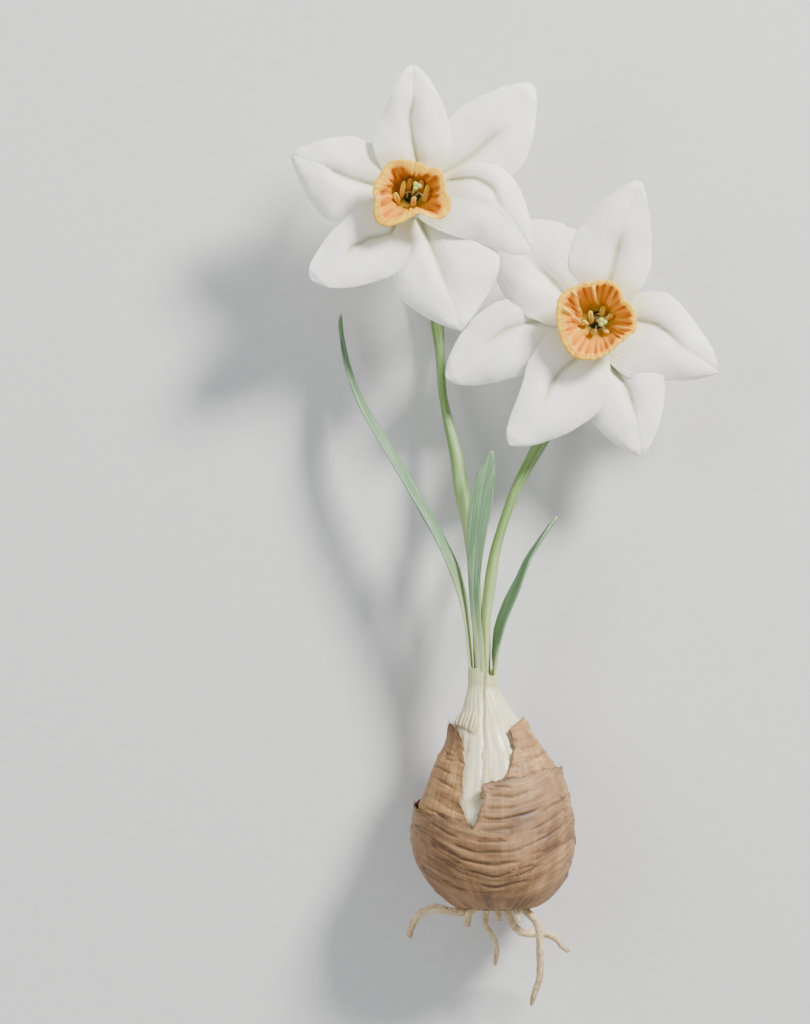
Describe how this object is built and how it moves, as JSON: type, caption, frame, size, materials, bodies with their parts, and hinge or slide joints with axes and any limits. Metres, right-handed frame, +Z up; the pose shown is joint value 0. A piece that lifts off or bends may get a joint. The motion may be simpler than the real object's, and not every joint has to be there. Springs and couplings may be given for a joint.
{
  "type": "bare-rooted narcissus plant",
  "caption": "Narcissus lifted with its bulb and laid on its back: open flowers with cupped coronas on bent scapes, strap leaves, a bulb in torn papery tunics, and bare roots.",
  "frame": {"origin": "on the surface that the plant lies on, under the middle of the whole plant's box", "axes": "+Y from the roots to the flowers, +Z up from the surface, +X across the plant towards the lower flower"},
  "size_m": [0.1375, 0.3011, 0.0503],
  "materials": {
    "bulb_scale": "satin",
    "inner_tunic": "matte",
    "outer_tunic": "matte",
    "root": "matte",
    "leaf": "satin",
    "scape": "satin",
    "spathe": "matte",
    "tepal": "satin",
    "corona": "satin",
    "stamen": "matte",
    "pistil": "satin"
  },
  "bodies": {
    "root": {"bulb_scales": "bulb_scale", "tunic_inner": "inner_tunic", "tunic_outer": "outer_tunic", "basal_plate_and_roots": "root", "leaf_left": "leaf", "leaf_middle": "leaf", "leaf_right": "leaf", "scape_left": "scape", "scape_right": "scape", "spathe_left": "spathe", "spathe_right": "spathe", "tepals_left": "tepal", "corona_left": "corona", "stamens_left": "stamen", "pistil_left": "pistil", "tepals_right": "tepal", "corona_right": "corona", "stamens_right": "stamen", "pistil_right": "pistil"}
  },
  "joints": []
}
